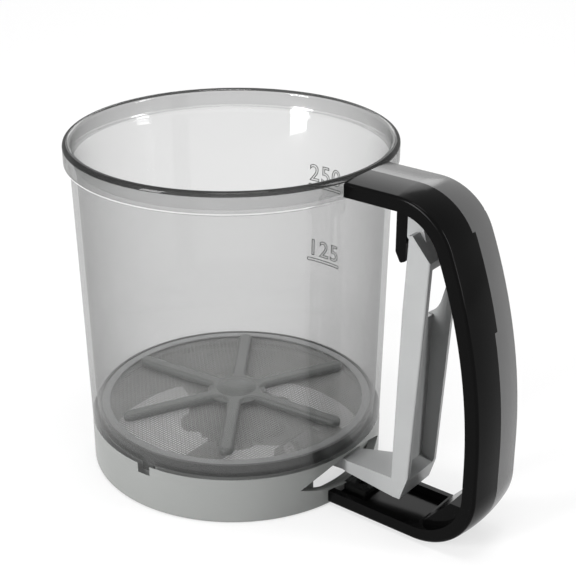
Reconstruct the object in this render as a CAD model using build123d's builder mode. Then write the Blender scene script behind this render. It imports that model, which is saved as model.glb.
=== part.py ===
from build123d import *
from math import atan2, cos, degrees, pi, radians, sin, sqrt, tan
import os

os.makedirs("parts", exist_ok=True)

# Hand flour sifter: a clear cup with a fine sieve near its foot, and a strap handle with a trigger.
# Squeezing the trigger pulls a toothed slide, which turns a six-armed agitator over the sieve.
# Millimetres. The cup stands on Z = 0 around the Z axis and the handle points along +X.

# ---------------------------------------------------------------- driving sizes
cup_height = 118.0
rim_radius = 55.4  # outside of the rim bead
collar_step = 2.1  # from the rim down to the wall just under the collar
wall_taper = 1.9  # how much the wall narrows on its way down
band_step = 0.1  # how far the base band stands out from the foot of the wall
band_height = 14.0
wall = 2.0
band_wall = 2.9
rim_width = 2.9
bead_height = 7.0
collar_height = 3.6
foot_rounding = 1.3

ledge_z = 16.6  # the sieve's seat inside the cup
sieve_ring_height = 4.4
sieve_clearance = 0.3
sieve_ring_wall = 1.2
hoop_wall = 2.9
mesh_thickness = 0.4
key_width = 5.0
key_drop = 3.0
key_angles = (-87.0, 33.0, 153.0)

frame_clearance = 0.1
frame_wall = 1.7
frame_foot = 1.2  # height of the base frame's lowest edge
frame_arm_width = 9.6
frame_arm_z = 2.2
frame_arm_thickness = 2.6
frame_hub_radius = 9.0
bush_wall = 1.0
bush_flange = 0.6

stem_radius = 3.0
running_clearance = 0.05
arm_count = 6
arm_radius = 43.0
arm_width = 4.8
arm_thickness = 2.5
arm_top_round = 1.2
arm_crotch_round = 4.0
arm_first_angle = 5.0
star_clearance = 0.3  # between the agitator and the eyelet's flange
star_hub_radius = 7.2
star_hub_rise = 1.2
hub_flat_radius = 2.5
eyelet_flange_thickness = 0.25

gear_module = 1.25
gear_teeth = 20
pressure_angle = radians(20)
backlash = 0.16
wheel_z = 5.7
tooth_depth_z = 5.3  # face width of the wheel's teeth
cover_radius = 17.5
cover_lobe_radius = 5.0
cover_lobe_centre = 16.0
cover_thickness = 2.2

pivot_reach = 19.6  # from the rim to the trigger's hinge
pivot_rise = 1.9  # of the hinge above the underside of the handle's arm
pivot_pin_radius = 1.2
trigger_swing = 7.0  # degrees, front rest to the stop in the handle
trigger_half_width = 9.0
trigger_wall = 1.8
trigger_floor_z = 11.4
link_z = 11.5
slide_end_gap = 1.12  # between the slide's fork and the base frame at full travel
link_pin_radius = 1.5
link_slack = 0.15  # gap each side of the link pin in its slots
tongue_half_width = 4.2
side_clearance = 0.3

handle_half_width = 12.2
handle_edge = 4.5  # thickness of the strap at its edges
handle_crown = 1.1  # extra thickness along the seam
arm_below_rim = 6.0  # from the top of the cup to the underside of the handle's arm
lower_arm_z = 5.7
lower_arm_foot = 1.3
shell_wall = 1.5
trough_half_width = 9.6
trough_floor_z = 3.0
neck_half_width = 5.0
screw_radius = 1.1
screw_head_radius = 1.7
fit_gap = 0.05

# ---------------------------------------------------------------- worked-out sizes
body_top_radius = rim_radius - collar_step
body_foot_radius = body_top_radius - wall_taper
band_radius = body_foot_radius + band_step
arm_under_z = cup_height - arm_below_rim
pivot_x = rim_radius + pivot_reach
pivot_z = arm_under_z + pivot_rise
cup_inside_foot = band_radius - wall
band_inside = band_radius - band_wall
sieve_outer = cup_inside_foot - sieve_clearance
hoop_outer = sieve_outer - sieve_ring_wall - fit_gap
hoop_inner = hoop_outer - hoop_wall
sieve_top = ledge_z + sieve_ring_height
mesh_top = sieve_top - 0.8
star_z = mesh_top + eyelet_flange_thickness + star_clearance
pitch_radius = gear_module * gear_teeth / 2
base_radius = pitch_radius * cos(pressure_angle)
tip_radius = pitch_radius + gear_module
root_radius = pitch_radius - 1.25 * gear_module
frame_outer = band_inside - frame_clearance
frame_inner = frame_outer - frame_wall
frame_arm_top = frame_arm_z + frame_arm_thickness
cover_z = wheel_z + tooth_depth_z
star_top = star_z + arm_thickness + star_hub_rise


def ring(outer, inner, low, high):
    """A plain ring round the Z axis."""
    with BuildPart() as body:
        with BuildSketch(Plane.XY.offset(low)):
            Circle(outer)
            Circle(inner, mode=Mode.SUBTRACT)
        extrude(amount=high - low)
    return body.part


def save(name, piece):
    """Labels a finished piece and writes it under its own name."""
    piece.part.label = name
    export_step(piece.part, f"parts/{name}.step")


# ---------------------------------------------------------------- cup
slot_half_width = 22.5
slot_tip_z = 9.4
slot_top_z = 16.0
slot_low_z = 4.9
lug_half_width = 4.5
upper_lug = (arm_under_z + 1.3, arm_under_z + 3.7)
lower_lug = (trough_floor_z + fit_gap, trough_floor_z + 2.0)
lug_reach = 8.5
groove_z = 3.4
groove_height = 1.2
groove_depth = 0.35

with BuildPart() as cup_shell:
    bead_low = cup_height - bead_height
    collar_low = bead_low - collar_height
    bead_round = rim_width / 2
    with BuildSketch(Plane.XZ):
        with BuildLine():
            Polyline(
                (band_inside, ledge_z),
                (band_inside, 0),
                (band_radius - foot_rounding, 0),
            )
            RadiusArc(
                (band_radius - foot_rounding, 0),
                (band_radius, foot_rounding),
                -foot_rounding,
            )
            Polyline(
                (band_radius, foot_rounding),
                (band_radius, band_height - 0.3),
                (band_radius - 0.3, band_height),
                (body_foot_radius, band_height + 0.4),
                (body_top_radius, collar_low),
                (rim_radius - 0.9, bead_low),
                (rim_radius, bead_low + 0.7),
                (rim_radius, cup_height - bead_round),
            )
            ThreePointArc(
                (rim_radius, cup_height - bead_round),
                (rim_radius - bead_round, cup_height),
                (rim_radius - rim_width, cup_height - bead_round),
            )
            Polyline(
                (rim_radius - rim_width, cup_height - bead_round),
                (rim_radius - rim_width, bead_low + 0.7),
                (body_top_radius - wall, collar_low),
                (cup_inside_foot, ledge_z),
                (band_inside, ledge_z),
            )
        make_face()
    revolve(axis=Axis.Z)
    # groove that the base frame snaps into
    groove_low = groove_z - groove_height / 2
    groove = ring(band_inside + groove_depth, band_inside - 1, groove_low, groove_low + groove_height)
    add(groove, mode=Mode.SUBTRACT)
    # pointed slot for the trigger's arm
    with BuildSketch(Plane.YZ.offset(frame_inner - 8)):
        with BuildLine():
            ThreePointArc((-slot_half_width, slot_tip_z), (0, slot_top_z), (slot_half_width, slot_tip_z))
            ThreePointArc((slot_half_width, slot_tip_z), (0, slot_low_z), (-slot_half_width, slot_tip_z))
        make_face()
    extrude(amount=30, mode=Mode.SUBTRACT)
    # notches that stop the sieve from turning
    with BuildSketch(Plane.XY.offset(ledge_z - key_drop - sieve_clearance)):
        for angle in key_angles:
            with Locations(Rotation(0, 0, angle) * Location((band_inside, 0))):
                Rectangle(2 * (sieve_outer + fit_gap - band_inside), key_width + 2 * sieve_clearance)
    extrude(amount=key_drop + sieve_clearance, mode=Mode.SUBTRACT)
    # lugs that the handle is clamped to
    with BuildSketch(Plane.XY.offset(upper_lug[0])):
        with Locations((rim_radius - 1.4, 0)):
            Rectangle(lug_reach + 1.4, 2 * lug_half_width, align=(Align.MIN, Align.CENTER))
    extrude(amount=upper_lug[1] - upper_lug[0])
    with BuildSketch(Plane.XY.offset(lower_lug[0])):
        with Locations((band_radius - 1.2, 0)):
            Rectangle(lug_reach + 1.2, 2 * lug_half_width, align=(Align.MIN, Align.CENTER))
    extrude(amount=lower_lug[1] - lower_lug[0])
    upper_screw_at = (rim_radius + lug_reach / 2, (upper_lug[0] + upper_lug[1]) / 2)
    lower_screw_x = band_radius + lug_reach / 2
    with BuildSketch(Plane.XZ):
        with Locations(upper_screw_at):
            Circle(screw_radius + fit_gap)
    extrude(amount=lug_half_width, both=True, mode=Mode.SUBTRACT)
    with BuildSketch(Plane.XY):
        with Locations((lower_screw_x, 0)):
            Circle(screw_radius + fit_gap)
    extrude(amount=lower_lug[1], mode=Mode.SUBTRACT)
save("cup_shell", cup_shell)

# ---------------------------------------------------------------- sieve
with BuildPart() as sieve_gasket:
    with BuildSketch(Plane.XZ):
        with BuildLine():
            Polyline(
                (hoop_inner + 0.5, ledge_z),
                (sieve_outer, ledge_z),
                (sieve_outer, sieve_top),
                (hoop_outer + fit_gap, sieve_top),
                (hoop_outer + fit_gap, ledge_z + 1.4),
                (hoop_inner + 0.5, ledge_z + 1.4),
                close=True,
            )
        make_face()
    revolve(axis=Axis.Z)
    with BuildSketch(Plane.XY.offset(ledge_z - key_drop)):
        for angle in key_angles:
            with Locations(Rotation(0, 0, angle) * Location((band_inside + fit_gap, 0))):
                Rectangle(sieve_outer - band_inside - fit_gap, key_width, align=(Align.MIN, Align.CENTER))
    extrude(amount=key_drop)
save("sieve_gasket", sieve_gasket)

mesh_radius = hoop_outer - 1.4
with BuildPart() as hoop_lower:
    add(ring(hoop_outer, hoop_inner, ledge_z + 1.4, mesh_top - mesh_thickness))
    add(ring(hoop_outer, mesh_radius + fit_gap, mesh_top - mesh_thickness, mesh_top))
save("hoop_lower", hoop_lower)

with BuildPart() as hoop_upper:
    add(ring(hoop_outer, hoop_inner, mesh_top, sieve_top - 0.1))
    fillet(hoop_upper.edges().group_by(Axis.Z)[-1], 0.3)
save("hoop_upper", hoop_upper)

eyelet_bore = stem_radius + 0.3
eyelet_tube = eyelet_bore + 0.6
eyelet_flange = eyelet_bore + 2.0
with BuildPart() as sieve_mesh:
    add(ring(mesh_radius, eyelet_tube, mesh_top - mesh_thickness, mesh_top))
save("sieve_mesh", sieve_mesh)

with BuildPart() as mesh_eyelet:
    mesh_under = mesh_top - mesh_thickness
    add(ring(eyelet_tube, eyelet_bore, mesh_under - eyelet_flange_thickness, mesh_top + eyelet_flange_thickness))
    add(ring(eyelet_flange, eyelet_bore, mesh_under - eyelet_flange_thickness, mesh_under))
    add(ring(eyelet_flange, eyelet_bore, mesh_top, mesh_top + eyelet_flange_thickness))
save("mesh_eyelet", mesh_eyelet)

# ---------------------------------------------------------------- base frame
rack_back = pitch_radius + 6.0
rack_z = wheel_z - 0.5
rack_height = tooth_depth_z
guide_wall = 1.8
guide_length = 62.0
guide_shelf = 6.0  # how far the shelf reaches under the slide
bush_outer = stem_radius + running_clearance + bush_wall
bush_flange_width = 1.2
bush_top = wheel_z - 0.1

with BuildPart() as base_frame:
    add(ring(frame_outer, frame_inner, frame_foot, band_height))
    add(
        ring(
            band_inside + groove_depth - frame_clearance,
            frame_inner,
            groove_z - groove_height / 2 + frame_clearance,
            groove_z + groove_height / 2 - frame_clearance,
        )
    )
    with BuildSketch(Plane.XY.offset(frame_arm_z)):
        for angle in key_angles:
            with Locations(Rotation(0, 0, angle)):
                Rectangle(frame_inner + 0.5, frame_arm_width, align=(Align.MIN, Align.CENTER))
        Circle(frame_hub_radius)
    extrude(amount=frame_arm_thickness)
    # guide for the slide: a shelf under it and a wall behind it
    with BuildSketch(Plane.XY.offset(frame_arm_z)):
        with Locations((0, rack_back + side_clearance + guide_wall)):
            Rectangle(guide_length, guide_wall + side_clearance + guide_shelf, align=(Align.CENTER, Align.MAX))
    extrude(amount=frame_arm_thickness)
    with BuildSketch(Plane.XY.offset(frame_arm_z)):
        with Locations((0, rack_back + side_clearance)):
            Rectangle(guide_length, guide_wall, align=(Align.CENTER, Align.MIN))
    extrude(amount=rack_z + rack_height - frame_arm_z)
    with BuildSketch(Plane.XY.offset(frame_arm_z)):
        Circle(frame_hub_radius)
    extrude(amount=bush_top - bush_flange - frame_arm_z)
    with BuildSketch(Plane.XY.offset(frame_arm_z)):
        Circle(bush_outer)
    extrude(amount=bush_top - frame_arm_z, mode=Mode.SUBTRACT)
    # gap in the ring for the trigger's tongue and the slide
    frame_gap_width = 2 * slot_half_width + 2
    with BuildSketch(Plane.XY.offset(frame_arm_top)):
        Rectangle(frame_outer + 5, frame_gap_width, align=(Align.MIN, Align.CENTER))
        Rectangle(frame_inner - 2, frame_gap_width + 2, align=(Align.MIN, Align.CENTER), mode=Mode.SUBTRACT)
    extrude(amount=band_height, mode=Mode.SUBTRACT)
save("base_frame", base_frame)

with BuildPart() as spindle_bush:
    add(ring(bush_outer, stem_radius + running_clearance, frame_arm_z, bush_top))
    add(ring(bush_outer + bush_flange_width, stem_radius + running_clearance, bush_top - bush_flange, bush_top))
save("spindle_bush", spindle_bush)

# ---------------------------------------------------------------- agitator and its wheel
stem_end = frame_arm_z - 0.1
flat_depth = 0.6
screw_reach = 8.0

with BuildPart() as agitator_star:
    with BuildSketch(Plane.XY.offset(star_z)):
        with PolarLocations(arm_radius / 2 - arm_width / 4, arm_count, start_angle=arm_first_angle):
            SlotOverall(arm_radius + arm_width / 2, arm_width)
    extrude(amount=arm_thickness)
    crotches = agitator_star.edges().filter_by(Axis.Z).filter_by(
        lambda edge: abs(edge.center().X) + abs(edge.center().Y) < arm_radius / 2
    )
    fillet(crotches, arm_crotch_round)
    fillet(agitator_star.edges().group_by(Axis.Z)[-1], arm_top_round)
    fillet(agitator_star.edges().group_by(Axis.Z)[0], 0.5)
    with BuildSketch(Plane.XZ):
        with BuildLine():
            hub_foot = star_hub_radius + 3
            hub_side = Polyline((0, star_z + 1), (hub_foot, star_z + 1), (hub_foot, star_z + arm_thickness - 1))
            Spline(
                hub_side @ 1,
                (star_hub_radius, star_z + arm_thickness),
                (hub_flat_radius, star_top),
                tangents=((-1, 0.3), (-1, 0)),
            )
            Polyline((hub_flat_radius, star_top), (0, star_top), (0, star_z + 1))
        make_face()
    revolve(axis=Axis.Z)
    with BuildSketch(Plane.XY.offset(stem_end)):
        Circle(stem_radius)
    extrude(amount=star_z + 1 - stem_end)
    with BuildSketch(Plane.XY.offset(stem_end)):
        with Locations((stem_radius - flat_depth, 0)):
            Rectangle(4, 8, align=(Align.MIN, Align.CENTER))
    extrude(amount=cover_z + cover_thickness - stem_end, mode=Mode.SUBTRACT)
    with BuildSketch(Plane.XY.offset(stem_end)):
        Circle(screw_radius)
    extrude(amount=screw_reach, mode=Mode.SUBTRACT)
save("agitator_star", agitator_star)


def involute_point(radius, half_angle):
    """The point on a tooth's flank at this radius. half_angle is half the tooth's angle at the pitch circle."""
    def spread(r):
        unroll = sqrt(max(r * r / base_radius**2 - 1, 0))
        return unroll - atan2(unroll, 1)

    turn = half_angle + spread(pitch_radius) - spread(radius)
    return (radius * cos(turn), radius * sin(turn))


def tooth_outline():
    """One tooth of the wheel, pointing along +X, as a face that reaches inside the root circle."""
    half_angle = (pi * gear_module / 2 - backlash / 2) / 2 / pitch_radius
    flank_low = max(base_radius, root_radius)
    steps = [flank_low + (tip_radius - flank_low) * k / 4 for k in range(5)]
    left = [involute_point(r, half_angle) for r in steps]
    right = [(x, -y) for x, y in left]
    inner = root_radius - 1
    with BuildSketch() as tooth:
        with BuildLine():
            Spline(*left)
            Line(left[-1], right[-1])
            Spline(*right)
            Polyline(right[0], (inner, right[0][1]), (inner, left[0][1]), left[0])
        make_face()
    return tooth.sketch


with BuildPart() as drive_wheel:
    # a tooth gap faces +Y, where the slide's first tooth sits
    gap_angle = 90 - 180 / gear_teeth
    tooth = tooth_outline()
    with BuildSketch(Plane.XY.offset(wheel_z)):
        Circle(root_radius)
        with PolarLocations(0, gear_teeth, start_angle=gap_angle):
            add(tooth)
    extrude(amount=tooth_depth_z)
    with BuildSketch(Plane.XY.offset(cover_z)):
        Circle(cover_radius)
        with PolarLocations(cover_lobe_centre, arm_count):
            Circle(cover_lobe_radius)
    extrude(amount=cover_thickness)
    fillet(drive_wheel.edges().group_by(Axis.Z)[-1], 0.6)
    with BuildSketch(Plane.XY.offset(wheel_z)):
        Circle(stem_radius + fit_gap)
        with Locations((stem_radius - flat_depth + fit_gap, 0)):
            Rectangle(4, 8, align=(Align.MIN, Align.CENTER), mode=Mode.SUBTRACT)
    extrude(amount=tooth_depth_z + cover_thickness, mode=Mode.SUBTRACT)
save("drive_wheel", drive_wheel)

washer_thickness = 0.7
with BuildPart() as stem_washer:
    add(ring(bush_outer + 0.8, screw_radius + fit_gap, stem_end - washer_thickness, stem_end))
save("stem_washer", stem_washer)


def screw(length, head_radius, head_height):
    """A pan-head screw along +Z, with the underside of its head at Z = 0 and a cross recess."""
    with BuildPart() as body:
        Cylinder(screw_radius, length, align=(Align.CENTER, Align.CENTER, Align.MIN))
        with BuildSketch():
            Circle(head_radius)
        extrude(amount=-head_height)
        fillet(body.edges().group_by(Axis.Z)[0], head_height * 0.4)
        with BuildSketch(Plane.XY.offset(-head_height)):
            Rectangle(head_radius * 1.1, 0.4)
            Rectangle(0.4, head_radius * 1.1)
        extrude(amount=head_height * 0.5, mode=Mode.SUBTRACT)
    return body.part


with BuildPart() as stem_screw:
    add(Pos(0, 0, stem_end - washer_thickness) * screw(screw_reach, 2.6, 0.9))
save("stem_screw", stem_screw)

# ---------------------------------------------------------------- toothed slide
ear_half_length = 3.2
swing = radians(trigger_swing)
link_x = frame_inner - ear_half_length - slide_end_gap - (pivot_z - link_z) * sin(swing)
slide_travel = (pivot_z - link_z) * sin(swing) + (pivot_x - link_x) * (1 - cos(swing))
slide_ratio = slide_travel / swing  # mm of slide for each radian of trigger
pitch = pi * gear_module
ear_inner = tongue_half_width + side_clearance
ear_wall = 2.0
ear_outer = ear_inner + ear_wall
ear_foot = 1.2  # how much longer the fork's ears are behind the pin
ear_low = 2.8
ear_high = 14.0
cross_bar_end = link_x - ear_half_length
cross_bar_width = 4.4
cross_bar_height = 3.2

with BuildPart() as rack_slide:
    tooth_count = int((slide_travel + 14.0) / pitch) + 1
    first_tooth = -slide_travel - 7.0
    first_index = int(first_tooth / pitch)
    rack_root_y = pitch_radius + 1.25 * gear_module
    rack_tip_y = pitch_radius - gear_module
    rack_start = (first_index - 0.5) * pitch
    # bar with its teeth towards the wheel
    with BuildSketch(Plane.XY.offset(rack_z)):
        with Locations((rack_start, rack_root_y)):
            Rectangle(cross_bar_end - rack_start, rack_back - rack_root_y, align=(Align.MIN, Align.MIN))
        half_pitch_thickness = (pitch / 2 - backlash / 2) / 2
        for index in range(first_index, first_index + tooth_count):
            middle = index * pitch
            tip_half = half_pitch_thickness - gear_module * tan(pressure_angle)
            root_half = half_pitch_thickness + 1.25 * gear_module * tan(pressure_angle)
            with BuildLine():
                Polyline(
                    (middle - root_half, rack_root_y),
                    (middle - tip_half, rack_tip_y),
                    (middle + tip_half, rack_tip_y),
                    (middle + root_half, rack_root_y),
                    close=True,
                )
            make_face()
    extrude(amount=rack_height)
    # cross bar to the fork that holds the link pin
    with BuildSketch(Plane.XY.offset(rack_z)):
        with Locations((cross_bar_end, -ear_outer)):
            Rectangle(cross_bar_width, rack_back + ear_outer, align=(Align.MAX, Align.MIN))
    extrude(amount=cross_bar_height)
    with BuildSketch(Plane.XY.offset(ear_low)):
        with Locations((link_x + ear_half_length, ear_inner), (link_x + ear_half_length, -ear_outer)):
            Rectangle(2 * ear_half_length + ear_foot, ear_wall, align=(Align.MAX, Align.MIN))
    extrude(amount=ear_high - ear_low)
    fillet(rack_slide.edges().group_by(Axis.Z)[-1].filter_by(Axis.Y), 1.5)
    slot_low = 4.6
    slot_high = link_z + link_pin_radius + 0.4
    with BuildSketch(Plane.XZ.offset(-ear_outer - 1)):
        with Locations((link_x, (slot_low + slot_high) / 2)):
            SlotOverall(slot_high - slot_low, 2 * (link_pin_radius + link_slack), rotation=90)
    extrude(amount=2 * ear_outer + 2, mode=Mode.SUBTRACT)
save("rack_slide", rack_slide)

# ---------------------------------------------------------------- trigger
# side view of the lever: x from the hinge, z from the hinge at the top and from the table at the foot
lever_front = [
    (pivot_x - 2.5, 18.0),
    (pivot_x - 0.7, pivot_z - 34.9),
    (pivot_x + 0.6, pivot_z - 10.2),
]
lever_back = [
    (pivot_x + 2.1, pivot_z - 9.8),
    (pivot_x + 8.6, pivot_z - 17.2),
    (pivot_x + 7.7, pivot_z - 34.9),
    (pivot_x + 4.0, 20.0),
    (pivot_x + 1.3, trigger_floor_z),
]
lever_foot_front = lever_front[0]
lever_foot_back = lever_back[-1]
barrel_radius = 2.3
window_low = pivot_z - 41.8
window_high = pivot_z - 16.9
tongue_thickness = 4.6
tongue_start = band_radius - 1.5  # where the drive arm narrows to pass the slot
shoulder_x = band_radius + 1.1
shoulder_half_width = 5.0
spread_x = pivot_x - 1.0  # where it has reached the lever's full width

with BuildPart() as drive_arm:
    with BuildSketch(Plane.XZ):
        with BuildLine():
            Polyline(
                lever_foot_back,
                lever_foot_front,
                (shoulder_x, link_z + 3.3),
                (link_x, link_z + tongue_thickness / 2),
                (link_x, link_z - tongue_thickness / 2),
                (shoulder_x, link_z - 1.1),
                close=True,
            )
        make_face()
        with Locations((link_x, link_z)):
            Circle(tongue_thickness / 2)
    extrude(amount=trigger_half_width, both=True)
    with BuildSketch(Plane.XY):
        with BuildLine():
            Polyline(
                (link_x - tongue_thickness, tongue_half_width),
                (tongue_start, tongue_half_width),
                (shoulder_x, shoulder_half_width),
                (spread_x, trigger_half_width),
                (pivot_x + 5, trigger_half_width),
                (pivot_x + 5, -trigger_half_width),
                (spread_x, -trigger_half_width),
                (shoulder_x, -shoulder_half_width),
                (tongue_start, -tongue_half_width),
                (link_x - tongue_thickness, -tongue_half_width),
                close=True,
            )
        make_face()
    extrude(amount=30, mode=Mode.INTERSECT)
    with BuildSketch(Plane.XZ):
        with Locations((link_x, link_z)):
            Circle(link_pin_radius + fit_gap)
    extrude(amount=trigger_half_width, both=True, mode=Mode.SUBTRACT)

with BuildPart() as trigger_lever:
    with BuildSketch(Plane.XZ):
        with BuildLine():
            Polyline(*lever_front, *lever_back, close=True)
        make_face()
    extrude(amount=trigger_half_width, both=True)
    # channel open towards the grip
    channel_half_width = trigger_half_width - trigger_wall
    with BuildSketch(Plane.XZ):
        with BuildLine():
            Polyline(
                (pivot_x - 2.5 + trigger_wall, 20.5),
                (pivot_x - 0.7 + trigger_wall, pivot_z - 34.9),
                (pivot_x + 0.4 + trigger_wall, pivot_z - 12.9),
                (pivot_x + 1.6 + trigger_wall, pivot_z - 13.1),
                (pivot_x + 9.0, pivot_z - 20.3),
                (pivot_x + 9.0, 27.0),
                (pivot_x + 3.6, 18.5),
                close=True,
            )
        make_face()
    extrude(amount=channel_half_width, both=True, mode=Mode.SUBTRACT)
    # window through the front web
    with BuildSketch(Plane.XY.offset(window_low)):
        with Locations((pivot_x, 0)):
            Rectangle(10, 2 * channel_half_width)
    extrude(amount=window_high - window_low, mode=Mode.SUBTRACT)
    fillet(trigger_lever.edges().filter_by(lambda e: e.length > 50).group_by(Axis.Y)[0], 0.7)
    fillet(trigger_lever.edges().filter_by(lambda e: e.length > 50).group_by(Axis.Y)[-1], 0.7)
    # the right wall slopes away beside the window
    with BuildSketch(Plane.XZ.offset(-trigger_half_width)):
        with BuildLine():
            Polyline(
                (pivot_x + 3.5, pivot_z - 36.4),
                (pivot_x + 6.2, pivot_z - 26.3),
                (pivot_x + 9.6, pivot_z - 14.4),
                (pivot_x + 2.5 + trigger_wall, pivot_z - 12.9),
                (pivot_x + 0.4 + trigger_wall, pivot_z - 12.9),
                (pivot_x + 0.4 + trigger_wall, window_high),
                (pivot_x - 5, window_high),
                (pivot_x - 5, window_low),
                (pivot_x - 1.1, window_low),
            )
            ThreePointArc(
                (pivot_x - 1.1, window_low),
                (pivot_x + 1.8, pivot_z - 39.5),
                (pivot_x + 3.5, pivot_z - 36.4),
            )
        make_face()
    extrude(amount=trigger_wall, mode=Mode.SUBTRACT)
    add(drive_arm.part)
    # neck and pivot barrel
    with BuildSketch(Plane.XZ):
        with BuildLine():
            Polyline(
                (pivot_x - barrel_radius, pivot_z),
                (pivot_x - barrel_radius, pivot_z - 12.4),
                (pivot_x + 0.2, pivot_z - 15.4),
                (pivot_x + 4.8, pivot_z - 13.5),
                (pivot_x + 3.6, pivot_z - 9.4),
                (pivot_x + barrel_radius, pivot_z),
                close=True,
            )
        make_face()
        with Locations((pivot_x, pivot_z)):
            Circle(barrel_radius)
    extrude(amount=neck_half_width, both=True)
    with BuildSketch(Plane.XZ):
        with Locations((pivot_x, pivot_z)):
            Circle(pivot_pin_radius + running_clearance)
    extrude(amount=neck_half_width, both=True, mode=Mode.SUBTRACT)
save("trigger_lever", trigger_lever)

with BuildPart() as link_pin:
    with BuildSketch(Plane.XZ):
        with Locations((link_x, link_z)):
            Circle(link_pin_radius)
    extrude(amount=ear_outer + 1.6, both=True)
    chamfer(link_pin.edges(), 0.3)
save("link_pin", link_pin)

with BuildPart() as link_pin_clips:
    clip_thickness = 0.6
    for side in (1, -1):
        with BuildSketch(Plane.XZ.offset(side * (ear_outer + 0.3))):
            with Locations((link_x, link_z)):
                Circle(link_pin_radius + 1.1)
                Circle(link_pin_radius, mode=Mode.SUBTRACT)
                with Locations((0, -3)):
                    Rectangle(1.6, 4, mode=Mode.SUBTRACT)
        extrude(amount=side * clip_thickness)
save("link_pin_clips", link_pin_clips)

# ---------------------------------------------------------------- handle
arm_run = 17.6  # from the rim to where the arm starts to turn down
corner_start_x = rim_radius + arm_run
corner_radius = 16.0
grip_lean = radians(68)  # how far the strap has turned down at the top of the grip
lower_bend_radius = 17.5
grip_straight = 11.0  # between the two curves of the grip

corner_end = (
    corner_start_x + corner_radius * sin(grip_lean),
    arm_under_z - corner_radius * (1 - cos(grip_lean)),
)
grip_end_z = lower_arm_z + lower_bend_radius + grip_straight
upper_grip_radius = (corner_end[1] - grip_end_z) / cos(grip_lean)
grip_end = (corner_end[0] + upper_grip_radius * (1 - sin(grip_lean)), grip_end_z)
bend_start = (grip_end[0], lower_arm_z + lower_bend_radius)
bend_end = (grip_end[0] - lower_bend_radius, lower_arm_z)

with BuildLine(Plane.XZ) as handle_path:
    upper_run = Line((rim_radius - 3, arm_under_z), (corner_start_x, arm_under_z))
    corner_run = TangentArc((corner_start_x, arm_under_z), corner_end, tangent=(1, 0))
    grip_run = TangentArc(corner_end, grip_end, tangent=(cos(grip_lean), -sin(grip_lean)))
    straight_run = Line(grip_end, bend_start)
    bend_run = TangentArc(bend_start, bend_end, tangent=(0, -1))
    lower_run = Line(bend_end, (band_radius - 3, lower_arm_z))

path_start = Plane(origin=(rim_radius - 3, 0, arm_under_z), x_dir=(0, 1, 0), z_dir=(1, 0, 0))


def strap(half_width, low, edge, inner_round=0, outer_round=0):
    """A crowned section swept along the handle. low and edge are measured from the strap's inner face."""
    with BuildPart() as body:
        with BuildSketch(path_start) as section:
            with BuildLine():
                Polyline((-half_width, edge), (-half_width, low), (half_width, low), (half_width, edge))
                ThreePointArc((half_width, edge), (0, edge + handle_crown), (-half_width, edge))
            make_face()
            if inner_round:
                corners = section.vertices().sort_by(Axis.Z)
                fillet(corners[:2], inner_round)
                fillet(corners[2:], outer_round)
        sweep(path=handle_path.wire())
    return body.part


strap_solid = strap(handle_half_width, 0, handle_edge, inner_round=1.0, outer_round=2.0)
strap_cavity = strap(handle_half_width - shell_wall, shell_wall, handle_edge - shell_wall)


def mid_strap(run, fraction):
    """A point in the middle of the strap's thickness, at this fraction of one run of the handle."""
    at = run @ fraction
    along = run % fraction
    across = (handle_edge + handle_crown) / 2
    return (at.X - along.Z * across, at.Z + along.X * across)


side_screws = [upper_screw_at, mid_strap(corner_run, 0.75), mid_strap(bend_run, 0.25)]
cavity_low = bend_start[1] + 2.8
cavity_high = corner_end[1] - 4.0
bracket_front = pivot_x - 6.3
bracket_back = pivot_x - barrel_radius - side_clearance
bracket_half_width = 5.0
bracket_foot_z = pivot_z - 21.6
# the trigger's foot, swung back, meets the slope of this block
stop_front = lever_foot_back[0] + (pivot_z - trigger_floor_z) * sin(swing) - 3.2
stop_back = grip_end[0] - 1.4
stop_top = lower_arm_z + 11.9
trough_end = grip_end[0] - 17.0

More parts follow.
